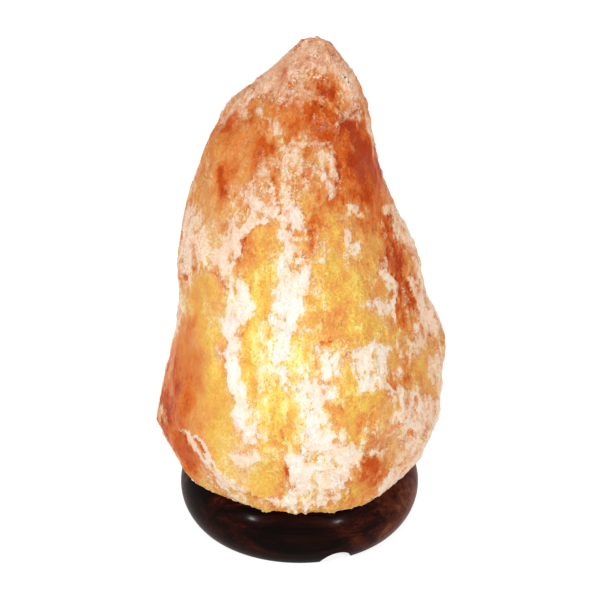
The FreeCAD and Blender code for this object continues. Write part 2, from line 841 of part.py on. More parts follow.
sub_parts = {
    "wood_base": make_wood_base,
    "base_feet": make_base_feet,
    "salt_crystal": make_salt_crystal,
    "fixing_screws": make_fixing_screws,
    "fixing_washers": make_fixing_washers,
    "wall_plugs": make_wall_plugs,
    "holder_cup": make_holder_cup,
    "inlet_bush": make_inlet_bush,
    "holder_collar": make_holder_collar,
    "contact_block": make_contact_block,
    "screw_shell": make_screw_shell,
    "centre_contact": make_centre_contact,
    "contact_rivet": make_contact_rivet,
    "shell_rivet": make_shell_rivet,
    "centre_terminal": make_centre_terminal,
    "shell_terminal": make_shell_terminal,
    "terminal_screws": make_terminal_screws,
    "clip_band": make_clip_band,
    "left_wing": make_left_wing,
    "right_wing": make_right_wing,
    "bulb_tip": make_bulb_tip,
    "bulb_insulator": make_bulb_insulator,
    "bulb_cap": make_bulb_cap,
    "bulb_glass": make_bulb_glass,
    "bulb_stem": make_bulb_stem,
    "bulb_leads": make_bulb_leads,
    "bulb_filament": make_bulb_filament,
}

os.makedirs("parts", exist_ok=True)
for name, make in sub_parts.items():
    solids = make()
    shape = solids[0] if len(solids) == 1 else Part.makeCompound(solids)
    shape.exportStep("parts/" + name + ".step")
    print(name, len(shape.Solids), "solids,", round(shape.Volume), "mm3, valid:", shape.isValid())
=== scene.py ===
"""Looks of the salt lamp: the hewn glowing crystal, the lacquered wood base, the lampholder and the bulb."""

import json
import math

import bpy
import numpy as np
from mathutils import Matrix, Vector


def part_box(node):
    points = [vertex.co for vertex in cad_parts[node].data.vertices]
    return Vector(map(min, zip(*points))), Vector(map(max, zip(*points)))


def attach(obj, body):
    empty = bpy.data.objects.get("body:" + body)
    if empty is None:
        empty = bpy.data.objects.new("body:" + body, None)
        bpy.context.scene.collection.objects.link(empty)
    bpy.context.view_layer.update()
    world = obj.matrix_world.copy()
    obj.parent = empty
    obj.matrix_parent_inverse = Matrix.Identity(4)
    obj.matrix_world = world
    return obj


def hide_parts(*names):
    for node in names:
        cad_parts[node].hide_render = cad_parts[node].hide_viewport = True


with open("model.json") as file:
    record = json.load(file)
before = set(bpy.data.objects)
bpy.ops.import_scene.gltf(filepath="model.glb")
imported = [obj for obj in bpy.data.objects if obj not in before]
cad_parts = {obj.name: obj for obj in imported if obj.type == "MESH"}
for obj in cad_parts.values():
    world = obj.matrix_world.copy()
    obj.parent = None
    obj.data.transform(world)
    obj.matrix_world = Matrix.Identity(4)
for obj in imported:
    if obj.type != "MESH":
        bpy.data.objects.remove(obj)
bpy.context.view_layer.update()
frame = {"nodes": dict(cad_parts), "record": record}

MM = 0.001
LEFT, RIGHT = -1, 1
scene = bpy.context.scene
slot_of = {part["node"]: part["material_slot"] for part in frame["record"]["subparts"]}

# Camera of the photograph, fitted to the outline of the base
AIM_HEIGHT = 124.0 * MM
CAMERA_DISTANCE = 1.0
CAMERA_PITCH = math.radians(28.36)
FOCAL_PX = 1961.0
PICTURE_PX = 600.0
AXIS_PX = 299.5  # where the lamp's axis lies across the picture
TO_CAMERA = np.array((0, -math.cos(CAMERA_PITCH), math.sin(CAMERA_PITCH)))

# Rolled thread of the bulb's cap and the screw shell: its pitch is the lift per turn of the joints' coupling
THREAD_PITCH = 2 * math.pi * frame["record"]["behaviour"]["couplings"][0]["ratio"]
THREAD_DEPTH = 0.5 * MM
THREAD_STEP = 0.16 * MM
THREAD_SIDES = 96
CAP_WALL = 0.3 * MM
CAP_FOOT = 0.6 * MM
CAP_HOLE = 1.3 * MM
SHELL_WALL = 0.4 * MM
SHELL_CLEARANCE = 1.2 * MM
SHELL_PLAIN_BELOW = 1.5 * MM
SHELL_PLAIN_ABOVE = 0.5 * MM

# Filament
COIL_TURNS = 26
STEPS_PER_TURN = 16
WIRE_SIDES = 8
OFF_THE_WIRE = (0.3, 0.9, 0.2)  # any way but along the wire, to start its round sections from
COIL_RADIUS = 0.4 * MM
COIL_WIRE = 0.06 * MM
LEAD_RADIUS = 0.35 * MM

# Crystal
VOXEL = 1.23 * MM
WEAR_PASSES = 6
CAVITY_RADIUS = 26.6 * MM
CAVITY_TOP = 131.0 * MM
PLUG_HOLES_RADIUS = 41.0 * MM
PLUG_HOLES_TOP = 60.0 * MM
FOOT_HEIGHT = 30.5 * MM
SAWN_TOP = FOOT_HEIGHT + 0.4 * MM
SAWN_RADIUS = 44.0 * MM

# The crystal's features by size, from flakes to the wide fields that noise gives its back
FLAKE = 2.5 * MM
FLUTTER = 3.2 * MM
CHIP = 6 * MM
PATCH = 9 * MM
WANDER = 11 * MM
PALE_FIELD = 24 * MM
RUST_FIELD = 38 * MM
SMOOTH_FIELD = 44 * MM
FIBRE_STRETCH = np.array((1, 1, 0.42))

# How far wander and flutter shift the strokes and the plate edges, in the photograph's pixels
STROKE_WANDER_PX = 9
STROKE_FLUTTER_PX = 4
LEDGE_SHIFT_PX = 3
PALER_ROWS_PX = (250, 110)  # between these rows of the picture the rock grows paler towards its top

# Glow at the back of the crystal: its middle, the way from there to where it is strongest, and its spread
GLOW_CENTRE = np.array((0, 0, 80 * MM))
GLOW_RADIUS = 58 * MM
GLOW_SPREAD = 62 * MM

# Stage: the lights and the floor's own white are set so that the lit floor just reaches white
FLOOR_HALF = 6.0
FLOOR_PAINT = (0.8, 0.8, 0.8, 1)
FLOOR_WHITE = 0.81
WORLD_LIGHT = 0.245
LIGHT_AIM = Vector((0, 0, 0.1))
LIGHT_SIZE = 0.12
LIGHTS = [("front_left", (-1.00, -0.97, 0.68), 6.0), ("front_right", (0.82, -1.12, 0.68), 5.2)]

# Odd numbers that scatter the three axes, then mix the result twice, and the step from seed to seed
HASH_ODDS = np.array((374761393, 668265263, 2246822519, 1274126177, 2654435761), np.uint32)
SEED_STEP = 7919


def smoothstep(low, high, value):
    """Rises from 0 at low to 1 at high without a corner."""
    t = np.clip((value - low) / (high - low), 0, 1)
    return t * t * (3 - 2 * t)


def mixed(a, b, share):
    """Goes from a to b as share goes from 0 to 1."""
    return a + (b - a) * share


# Steady noise on points, worked out from whole-number hashes


def hashed(cells, seed):
    """A steady value between 0 and 1 for each whole-number place."""
    x, y, z = (cells[..., axis].astype(np.int64).astype(np.uint32) for axis in range(3))
    value = x * HASH_ODDS[0] + y * HASH_ODDS[1] + z * HASH_ODDS[2] + np.uint32(seed * SEED_STEP)
    value = (value ^ (value >> np.uint32(13))) * HASH_ODDS[3]
    value = (value ^ (value >> np.uint32(15))) * HASH_ODDS[4]
    return (value ^ (value >> np.uint32(16))).astype(np.float64) / (2**32 - 1)


def noise(points, size, seed):
    """Smooth noise from -1 to 1, with features of the given size."""
    scaled = points / size
    low = np.floor(scaled)
    part = scaled - low
    part = part * part * part * (part * (part * 6 - 15) + 10)
    total = 0
    for corner in np.ndindex(2, 2, 2):
        weight = np.prod(np.where(corner, part, 1 - part), axis=-1)
        total = total + weight * hashed(low + np.array(corner), seed)
    return total * 2 - 1


def layered(points, size, seed, layers=4):
    """Noise in layers, each half the size and half the strength of the one before."""
    total, strength = 0, 1
    for layer in range(layers):
        total = total + strength * noise(points, size / 2**layer, seed + layer)
        strength /= 2
    return total / 1.5


def chipped(points, size, seed):
    """Flat chips: each cell of space has its own tilted face, with a step to the next. From about -1 to 1."""
    scaled = points / size
    home = np.floor(scaled)
    nearest = np.full(len(points), 1e9)
    face = np.zeros(len(points))
    for step in np.ndindex(3, 3, 3):
        cell = home + np.array(step) - 1
        jitter = np.stack([hashed(cell, seed + axis) for axis in range(3)], axis=-1)
        away = scaled - (cell + 0.15 + 0.7 * jitter)
        distance = np.linalg.norm(away, axis=-1)
        tilt = np.stack([hashed(cell, seed + 11 + axis) * 2 - 1 for axis in range(3)], axis=-1)
        height = np.sum(away * tilt, axis=-1) + 0.6 * (hashed(cell, seed + 17) * 2 - 1)
        closer = distance < nearest
        nearest = np.where(closer, distance, nearest)
        face = np.where(closer, height, face)
    return face


# Camera, first of all


def make_camera():
    """The photograph's camera, aimed at the lamp's axis, with a small shift to where the axis lies there."""
    data = bpy.data.cameras.new("camera")
    data.sensor_width = 36
    data.lens = FOCAL_PX / PICTURE_PX * data.sensor_width
    data.clip_start, data.clip_end = 0.05, 50
    data.shift_x = (PICTURE_PX / 2 - AXIS_PX) / PICTURE_PX
    camera = bpy.data.objects.new("camera", data)
    back = Vector(TO_CAMERA)
    camera.location = Vector((0, 0, AIM_HEIGHT)) + back * CAMERA_DISTANCE
    camera.rotation_mode = "QUATERNION"
    camera.rotation_quaternion = (-back).to_track_quat("-Z", "Y")
    scene.collection.objects.link(camera)
    scene.camera = camera


def in_picture(points):
    """Where points at rest lie in the photograph, as pixels across and down."""
    up = np.array((0, math.sin(CAMERA_PITCH), math.cos(CAMERA_PITCH)))
    away = points - np.array((0, 0, AIM_HEIGHT))
    depth = CAMERA_DISTANCE - away @ TO_CAMERA
    across = AXIS_PX + FOCAL_PX * away[:, 0] / depth
    down = PICTURE_PX / 2 - FOCAL_PX * (away @ up) / depth
    return np.stack([across, down], axis=-1)


# Node helpers


def new_material(name, **values):
    """A material with a Principled shader, its even values set on the sockets. A blank is given as _."""
    material = bpy.data.materials.new(name)
    material.use_nodes = True
    shader = material.node_tree.nodes["Principled BSDF"]
    for socket, value in values.items():
        shader.inputs[socket.replace("_", " ")].default_value = value
    return material, shader


def add(material, kind, **values):
    """A new node with its properties and sockets set, each by its name. A blank is given as _."""
    node = material.node_tree.nodes.new("ShaderNode" + kind)
    for name, value in values.items():
        if hasattr(node, name):
            setattr(node, name, value)
        else:
            node.inputs[name.replace("_", " ")].default_value = value
    return node


def link(material, source, target):
    """Joins an output socket to an input socket."""
    material.node_tree.links.new(source, target)


def place(material, stretch=(1, 1, 1)):
    """The point's place in the lamp's own frame, in metres, stretched along each axis."""
    coordinate = add(material, "TexCoord")
    mapping = add(material, "Mapping")
    mapping.inputs["Scale"].default_value = stretch
    link(material, coordinate.outputs["Object"], mapping.inputs["Vector"])
    return mapping.outputs["Vector"]


def noise_node(material, size, stretch=(1, 1, 1), detail=4.0, roughness=0.55, distortion=0.0):
    """A noise texture with features of the given size in metres."""
    node = add(material, "TexNoise", Scale=1 / size, Detail=detail, Roughness=roughness)
    node.inputs["Distortion"].default_value = distortion
    link(material, place(material, stretch), node.inputs["Vector"])
    return node.outputs["Fac"]


def ragged(material, size, channel, stretch=(1, 1, 0.6)):
    """Cells with ragged borders: a value from 0 to 1 for each, and how far a point is from its middle."""
    shift = add(material, "TexNoise", Scale=2.2 / size, Detail=4, Roughness=0.6)
    link(material, place(material), shift.inputs["Vector"])
    moved = add(material, "VectorMath", operation="MULTIPLY_ADD")
    link(material, shift.outputs["Color"], moved.inputs[0])
    moved.inputs[1].default_value = (0.8 * size, 0.8 * size, 0.8 * size)
    link(material, place(material, stretch), moved.inputs[2])
    cells = add(material, "TexVoronoi", Scale=1 / size)
    link(material, moved.outputs[0], cells.inputs["Vector"])
    split = add(material, "SeparateColor")
    link(material, cells.outputs["Color"], split.inputs["Color"])
    return split.outputs[channel], cells.outputs["Distance"]


def ramp(material, source, stops):
    """Colours along a value. Each stop is a place from 0 to 1 and a linear colour."""
    node = add(material, "ValToRGB")
    elements = node.color_ramp.elements
    while len(elements) < len(stops):
        elements.new(0.5)
    for element, (position, colour) in zip(elements, stops):
        element.position = position
        element.color = (*colour, 1)
    link(material, source, node.inputs["Fac"])
    return node.outputs["Color"]


def calculated(material, operation, a, b=None, c=None):
    """A math node on sockets or numbers."""
    node = add(material, "Math", operation=operation)
    for socket, value in zip(node.inputs, (a, b, c)):
        if value is None:
            continue
        if hasattr(value, "links"):
            link(material, value, socket)
        else:
            socket.default_value = value
    return node.outputs[0]


def times(material, a, b):
    """Two values multiplied, each a socket or a number."""
    return calculated(material, "MULTIPLY", a, b)


def summed(material, start, *terms):
    """A value with others added to it, each with its weight."""
    for value, weight in terms:
        start = calculated(material, "MULTIPLY_ADD", value, weight, start)
    return start


def centred(material, source, strength=1.0):
    """A value from 0 to 1 moved to lie about 0, times a strength that may be a socket."""
    return times(material, calculated(material, "SUBTRACT", source, 0.5), strength)


def mapped(material, source, low, high, new_low=0.0, new_high=1.0):
    """A value moved from one range to another and clamped there."""
    node = add(material, "MapRange")
    for name, value in zip(("From Min", "From Max", "To Min", "To Max"), (low, high, new_low, new_high)):
        node.inputs[name].default_value = value
    link(material, source, node.inputs["Value"])
    return node.outputs["Result"]


def blended(material, factor, a, b, mode="MIX"):
    """Two colours mixed, each a socket or a linear colour."""
    node = add(material, "Mix", data_type="RGBA", blend_type=mode)
    for socket, value in zip((node.inputs["Factor"], node.inputs[6], node.inputs[7]), (factor, a, b)):
        if hasattr(value, "links"):
            link(material, value, socket)
        elif isinstance(value, (int, float)):
            socket.default_value = value
        else:
            socket.default_value = (*value, 1)
    return node.outputs[2]


def bumped(material, shader, height, distance, strength=1.0, below=None):
    """Bump from a height from 0 to 1, over a distance in metres, on top of another bump if one is given."""
    node = add(material, "Bump")
    node.inputs["Distance"].default_value = distance
    node.inputs["Strength"].default_value = strength
    link(material, height, node.inputs["Height"])
    if below is not None:
        link(material, below, node.inputs["Normal"])
    link(material, node.outputs["Normal"], shader.inputs["Normal"])
    return node.outputs["Normal"]


def linear(red, green, blue):
    """A linear colour from the 0 to 255 values that a picture shows."""
    shares = [value / 255 for value in (red, green, blue)]
    return tuple(share / 12.92 if share <= 0.04045 else ((share + 0.055) / 1.055) ** 2.4 for share in shares)


# Strokes on the front of the crystal, as seen in the photograph. Each runs from one pixel to another, with a
# half width in pixels and a strength.
PALE_STROKES_PX = [
    (306, 46, 322, 44, 10, 0.9),
    (302, 62, 332, 57, 9, 0.75),
    (333, 58, 338, 70, 6, 0.8),
    (296, 56, 290, 62, 7, 0.5),
    (290, 64, 272, 80, 11, 0.9),
    (286, 60, 276, 72, 7, 1.0),
    (240, 106, 246, 116, 8, 0.6),
    (336, 55, 346, 80, 6, 1.0),
    (351, 86, 353, 108, 5, 1.0),
    (349, 110, 342, 119, 5, 1.0),
    (296, 66, 301, 96, 6, 0.65),
    (258, 88, 288, 100, 9, 0.45),
    (272, 78, 236, 104, 7, 0.9),
    (234, 106, 218, 122, 4, 0.6),
    (263, 117, 275, 126, 3, 1.0),
    (294, 144, 284, 178, 8, 0.7),
    (284, 176, 288, 190, 5, 0.3),
    (276, 162, 280, 178, 7, 0.65),
    (298, 164, 300, 184, 8, 0.6),
    (308, 146, 326, 149, 3, 0.95),
    (330, 152, 336, 172, 4, 0.9),
    (322, 178, 329, 194, 9, 0.95),
    (316, 236, 324, 250, 8, 0.6),
    (376, 314, 382, 324, 7, 0.6),
    (318, 160, 318, 168, 8, 0.3),
    (290, 202, 296, 238, 9, 1.0),
    (240, 192, 246, 200, 10, 0.8),
    (238, 214, 230, 252, 13, 0.30),
    (226, 254, 230, 266, 9, 0.7),
    (214, 262, 222, 276, 8, 0.45),
    (254, 190, 266, 197, 9, 0.5),
    (276, 214, 282, 234, 8, 0.8),
    (250, 209, 266, 212, 8, 0.9),
    (362, 92, 367, 116, 4, 0.6),
    (216, 200, 216, 222, 15, 0.25),
    (232, 226, 224, 252, 10, 0.3),
    (240, 228, 238, 242, 7, 0.5),
    (190, 214, 187, 262, 9, 1.0),
    (190, 264, 191, 282, 7, 0.75),
    (182, 265, 180, 330, 4, 0.5),
    (206, 232, 218, 262, 12, 0.4),
    (284, 240, 282, 262, 9, 1.0),
    (306, 266, 288, 281, 11, 0.9),
    (307, 284, 313, 298, 7, 0.9),
    (270, 328, 273, 344, 7, 1.0),
    (196, 246, 198, 262, 7, 0.6),
    (282, 284, 280, 308, 10, 0.9),
    (292, 304, 290, 330, 8, 0.9),
    (278, 328, 279, 354, 11, 1.0),
    (237, 282, 241, 304, 7, 0.45),
    (237, 310, 232, 344, 9, 1.0),
    (312, 252, 326, 258, 6, 0.9),
    (340, 221, 353, 213, 4, 0.8),
    (352, 209, 362, 216, 4, 0.7),
    (352, 232, 360, 250, 5, 1.0),
    (383, 255, 388, 274, 5, 0.9),
    (394, 276, 396, 318, 4, 0.9),
    (374, 306, 388, 304, 6, 0.9),
    (388, 206, 392, 222, 5, 0.9),
    (394, 208, 402, 228, 5, 1.0),
    (400, 228, 407, 246, 7, 1.0),
    (416, 254, 424, 290, 5, 1.0),
    (424, 290, 432, 330, 8, 1.0),
    (365, 100, 369, 128, 3, 0.9),
    (274, 378, 292, 375, 7, 1.0),
    (300, 398, 308, 424, 9, 0.9),
    (236, 360, 240, 400, 7, 1.0),
    (240, 396, 247, 434, 8, 1.0),
    (322, 338, 326, 362, 7, 0.95),
    (284, 346, 290, 362, 9, 0.5),
    (308, 346, 312, 364, 7, 0.35),
    (330, 366, 322, 398, 8, 0.95),
    (304, 368, 316, 384, 7, 1.0),
    (316, 384, 322, 398, 12, 1.0),
    (246, 398, 252, 414, 8, 0.9),
    (212, 302, 218, 320, 9, 0.45),
    (268, 444, 270, 456, 8, 0.5),
    (312, 254, 314, 262, 6, 0.6),
    (276, 378, 286, 386, 9, 1.0),
    (348, 354, 358, 364, 8, 0.9),
    (308, 252, 308, 262, 7, 0.7),
    (314, 396, 320, 420, 10, 1.0),
    (345, 349, 384, 348, 6, 1.0),
    (378, 352, 380, 366, 7, 1.0),
    (368, 362, 371, 380, 10, 1.0),
    (379, 372, 384, 386, 7, 0.7),
    (404, 352, 420, 338, 9, 0.9),
    (397, 374, 403, 371, 4, 1.0),
    (399, 398, 402, 420, 5, 0.7),
    (408, 396, 430, 420, 11, 1.0),
    (404, 400, 412, 426, 9, 0.8),
    (436, 360, 437, 420, 7, 1.0),
    (384, 432, 398, 446, 12, 0.8),
    (398, 454, 402, 460, 7, 0.6),
    (308, 434, 328, 446, 9, 0.9),
    (314, 453, 338, 454, 10, 1.0),
    (330, 444, 346, 456, 12, 1.0),
    (340, 464, 348, 472, 7, 0.9),
    (352, 448, 356, 458, 7, 0.7),
    (326, 466, 328, 480, 8, 0.7),
    (340, 440, 352, 448, 10, 1.0),
    (300, 448, 298, 485, 11, 1.0),
    (313, 464, 320, 487, 12, 1.0),
    (338, 462, 337, 482, 8, 0.9),
    (386, 494, 412, 460, 7, 0.9),
    (412, 440, 418, 456, 7, 0.9),
    (370, 453, 386, 451, 3, 0.9),
    (392, 414, 400, 450, 9, 0.35),
    (222, 430, 236, 468, 13, 0.26),
    (184, 434, 206, 462, 4, 0.9),
    (208, 464, 228, 486, 6, 0.5),
    (274, 384, 280, 392, 6, 0.4),
    (326, 404, 330, 410, 7, 0.7),
    (308, 376, 316, 386, 7, 0.6),
    (226, 484, 252, 496, 6, 0.7),
    (238, 452, 246, 478, 11, 0.3),
    (244, 457, 249, 478, 10, 0.6),
    (262, 502, 300, 508, 4, 1.0),
    (304, 507, 334, 503, 4, 0.9),
    (247, 458, 256, 460, 6, 0.7),
    (161, 410, 162, 420, 2, 0.4),
    (170, 350, 166, 388, 3, 0.6),
]
RUST_STROKES_PX = [
    (350, 122, 362, 165, 12, 0.9),
    (362, 165, 374, 210, 13, 0.85),
    (384, 226, 393, 258, 9, 0.65),
    (228, 148, 232, 162, 8, 0.3),
    (354, 334, 360, 338, 8, 0.3),
    (396, 265, 402, 325, 8, 0.7),
    (224, 170, 227, 194, 7, 1.0),
    (228, 122, 226, 130, 9, 0.5),
    (256, 140, 262, 160, 12, 0.4),
    (317, 74, 322, 90, 8, 0.3),
    (326, 94, 334, 106, 9, 0.5),
    (284, 106, 294, 112, 9, 0.35),
    (310, 116, 332, 140, 12, 0.68),
    (344, 174, 350, 192, 9, 0.6),
    (330, 208, 334, 222, 8, 0.35),
    (182, 364, 174, 440, 21, 0.72),
    (180, 396, 178, 424, 14, 0.4),
    (164, 396, 166, 434, 6, 0.7),
    (180, 448, 196, 468, 9, 0.7),
    (376, 454, 374, 474, 13, 0.95),
    (370, 415, 372, 440, 10, 0.5),
    (309, 222, 305, 240, 6, 0.8),
    (247, 246, 250, 266, 6, 0.4),
    (402, 368, 404, 384, 7, 0.5),
    (334, 412, 339, 430, 10, 0.9),
    (346, 202, 352, 212, 7, 0.5),
    (374, 160, 382, 190, 6, 0.6),
    (414, 324, 416, 336, 5, 0.4),
    (290, 428, 294, 444, 8, 0.6),
    (296, 414, 299, 424, 7, 0.25),
    (343, 252, 345, 268, 10, 0.25),
    (262, 492, 270, 500, 7, 0.35),
    (334, 340, 346, 348, 8, 0.35),
    (320, 318, 328, 332, 8, 0.3),
    (356, 380, 358, 392, 7, 0.25),
    (291, 426, 290, 442, 5, 0.3),
    (283, 466, 284, 486, 3, 0.5),
    (328, 284, 330, 300, 7, 0.4),
    (362, 330, 356, 342, 7, 0.4),
    (330, 316, 350, 310, 9, 0.3),
    (190, 326, 188, 336, 6, 0.5),
]
GOLDEN_STROKES_PX = [
    (262, 240, 262, 262, 10, 0.55),
    (260, 278, 256, 324, 12, 0.85),
    (319, 264, 322, 278, 9, 0.6),
    (254, 330, 258, 372, 10, 1.0),
    (268, 397, 272, 430, 12, 1.0),
    (286, 400, 294, 440, 9, 1.0),
    (296, 412, 298, 426, 7, 1.0),
    (290, 426, 294, 446, 10, 1.0),
    (334, 412, 338, 428, 8, 1.0),
    (318, 338, 346, 346, 8, 1.0),
    (354, 378, 360, 394, 7, 0.8),
    (255, 422, 259, 438, 8, 0.8),
    (260, 496, 270, 500, 7, 1.0),
    (206, 344, 214, 366, 9, 0.7),
    (300, 352, 306, 372, 9, 0.7),
    (289, 366, 292, 396, 6, 0.8),
    (216, 370, 218, 430, 14, 0.4),
    (288, 414, 300, 424, 9, 0.8),
    (266, 358, 268, 376, 8, 0.7),
    (267, 446, 268, 470, 9, 0.4),
    (264, 474, 266, 488, 9, 0.8),
    (206, 290, 208, 318, 12, 0.35),
    (356, 416, 364, 440, 12, 0.4),
    (336, 262, 352, 330, 20, 0.9),
    (318, 300, 330, 335, 12, 0.6),
    (302, 350, 299, 408, 9, 0.6),
    (350, 372, 352, 420, 19, 0.5),
    (300, 234, 303, 246, 6, 0.8),
    (392, 380, 404, 440, 16, 0.35),
    (338, 240, 352, 262, 14, 0.7),
    (378, 330, 400, 334, 12, 0.3),
    (222, 440, 232, 470, 14, 0.5),
    (384, 410, 392, 450, 12, 0.4),
    (428, 338, 432, 356, 9, 0.6),
    (422, 366, 426, 390, 8, 0.5),
]
SMOOTH_STROKES_PX = [
    (194, 340, 204, 440, 30, 1.0),
    (228, 130, 244, 170, 26, 0.8),
    (300, 118, 326, 138, 16, 0.5),
    (256, 222, 262, 232, 6, 0.5),
    (236, 450, 244, 480, 14, 0.6),
    (212, 200, 222, 260, 18, 0.9),
    (206, 290, 210, 310, 16, 0.8),
    (358, 140, 378, 210, 12, 0.7),
    (374, 450, 370, 490, 10, 0.6),
    (310, 384, 324, 404, 9, 0.8),
    (330, 446, 344, 452, 9, 0.7),
    (288, 60, 274, 72, 8, 0.8),
    (218, 400, 232, 470, 18, 0.9),
    (244, 470, 268, 488, 12, 0.7),
    (392, 412, 398, 456, 12, 0.8),
    (428, 338, 430, 390, 10, 0.6),
    (418, 300, 430, 326, 7, 0.6),
]
STROKE_SOFTNESS = 1.2

# The brightest spot of the glow and how wide and high the glow is, then the dark specks near the top
HOT_SPOT_PX = np.array((287.0, 372.0))
GLOW_SPREAD_PX = np.array((128.0, 176.0))
SPECKS_PX = [(345, 78), (348, 83), (322, 107)]
FAR_PX = 1000.0  # keeps a speck off the points that face away

# Beside the edge of a plate lies a narrow shadow and a wide faint one
NARROW_SHADOW_PX = 2.5
WIDE_SHADOW_PX = 8.0

# Edges of thin plates: lines in the photograph's pixels, with the plate on the left of one who goes along
# them. Then come the plate's height in millimetres, how pale its edge is and the pixels over which both fade.
LEDGES_PX = [
    (
        [(236, 264), (242, 249), (246, 234), (254, 228), (269, 223), (278, 212), (279, 198), (273, 181)],
        0.9,
        0.72,
        24,
    ),
    ([(344, 123), (348, 114), (354, 102), (352, 89), (344, 71), (330, 57)], 0.96, 0.7, 14),
    ([(326, 198), (334, 189), (339, 175), (338, 159), (330, 155), (324, 147)], 0.72, 0.6, 16),
    ([(228, 355), (234, 350), (242, 333), (248, 320), (250, 300), (247, 284)], 0.84, 0.9, 13),
    ([(226, 359), (230, 386), (234, 402), (240, 422), (247, 438)], 0.72, 0.9, 9),
    ([(193, 269), (207, 268), (222, 281), (232, 291)], 0.54, 0.5, 14),
    ([(283, 431), (284, 450), (287, 470), (290, 492)], 0.9, 0.7, 22),
    ([(410, 310), (406, 292), (398, 262), (389, 242)], 0.66, 0.3, 10),
    ([(341, 356), (352, 352), (364, 346), (372, 341)], 0.72, 0.3, 16),
    ([(409, 283), (414, 300), (422, 318), (430, 334)], 0.6, 0.8, 12),
    ([(402, 242), (396, 236), (391, 222), (390, 212)], 0.48, 0.0, 8),
    ([(181, 433), (199, 439), (209, 461), (230, 484), (271, 504)], 0.72, 0.9, 5),
    ([(312, 352), (318, 343), (330, 340)], 0.6, 0.4, 16),
    ([(401, 395), (406, 410), (404, 424)], 0.6, 0.5, 12),
    ([(357, 462), (352, 480), (346, 498)], 0.72, 0.2, 12),
]


def stroked(picture, strokes):
    """How much strokes cover each point of the picture, from 0 to 1, fading out past their half width."""
    bare = np.ones(len(picture))
    for x, y, x_end, y_end, half_width, strength in strokes:
        start, run = np.array((x, y), float), np.array((x_end - x, y_end - y), float)
        along = np.clip((picture - start) @ run / (run @ run), 0, 1)
        distance = np.linalg.norm(picture - start - along[:, None] * run, axis=-1)
        bare *= 1 - strength * np.exp(-((distance / (STROKE_SOFTNESS * half_width)) ** 2))
    return 1 - bare


# Crystal


def remeshed(node, name, voxel, worn):
    """A copy of a CAD node's mesh on an even grid of small faces, its ridges worn down in so many passes."""
    piece = bpy.data.objects.new(name, frame["nodes"][node].data.copy())
    scene.collection.objects.link(piece)
    modifier = piece.modifiers.new("grid", "REMESH")
    modifier.mode = "VOXEL"
    modifier.voxel_size = voxel
    modifier = piece.modifiers.new("worn", "SMOOTH")
    modifier.factor = 0.5
    modifier.iterations = worn
    mesh = bpy.data.meshes.new_from_object(piece.evaluated_get(bpy.context.evaluated_depsgraph_get()))
    piece.modifiers.clear()
    piece.data = mesh
    mesh.name = name
    mesh.materials.clear()
    return piece


def read(elements, name):
    """A vector from each element of a mesh, as an array with one row for each element."""
    values = np.zeros(len(elements) * 3, np.float32)
    elements.foreach_get(name, values)
    return values.reshape(-1, 3).astype(float)


def outer_skin(points, normals):
    """1 on the hewn outside, 0 in the cavity, in the plug holes and on the sawn foot."""
    radius = np.linalg.norm(points[:, :2], axis=-1)
    inward = np.sum(points[:, :2] * normals[:, :2], axis=-1) < 0
    cavity = (radius < CAVITY_RADIUS) & (points[:, 2] < CAVITY_TOP)
    plug = inward & (points[:, 2] < PLUG_HOLES_TOP) & (radius < PLUG_HOLES_RADIUS)
    foot = (points[:, 2] < SAWN_TOP) & (radius < SAWN_RADIUS)
    return 1.0 - (cavity | plug | foot)


def stepped(picture, ledges):
    """Plates on the left of lines: their height in metres, their paleness and the shadow beside them."""
    raised, pale, shadow = np.zeros((3, len(picture)))
    for line, height, whiteness, fade in ledges:
        nearest, side = np.full(len(picture), 1e9), np.zeros(len(picture))
        for start, end in zip(line, line[1:]):
            start, run = np.array(start, float), np.subtract(end, start).astype(float)
            away = picture - start
            along = np.clip(away @ run / (run @ run), 0, 1)
            distance = np.linalg.norm(away - along[:, None] * run, axis=-1)
            closer = distance < nearest
            side = np.where(closer, run[1] * away[:, 0] - run[0] * away[:, 1], side)
            nearest = np.where(closer, distance, nearest)
        plate = side > 0
        raised = np.maximum(raised, np.where(plate, height * MM * np.exp(-nearest / fade), 0))
        pale = np.maximum(pale, np.where(plate, whiteness * np.exp(-((nearest / fade) ** 2)), 0))
        dark = np.exp(-((nearest / NARROW_SHADOW_PX) ** 2)) + 0.3 * np.exp(-nearest / WIDE_SHADOW_PX)
        shadow = np.maximum(shadow, np.where(plate, 0, dark))
    return raised, pale, shadow


def glowing(points, picture, facing):
    """The bulb's glow in the rock, from 0 to 1: a spot as photographed in front, and a wide one behind."""
    from_bulb = np.linalg.norm(points - GLOW_CENTRE, axis=-1)
    behind = np.exp(-(((from_bulb - GLOW_RADIUS) / GLOW_SPREAD) ** 2))
    off_spot = (picture - HOT_SPOT_PX) / GLOW_SPREAD_PX
    seen = np.exp(-np.sum(off_spot**2, axis=-1))
    return mixed(behind, seen, facing)


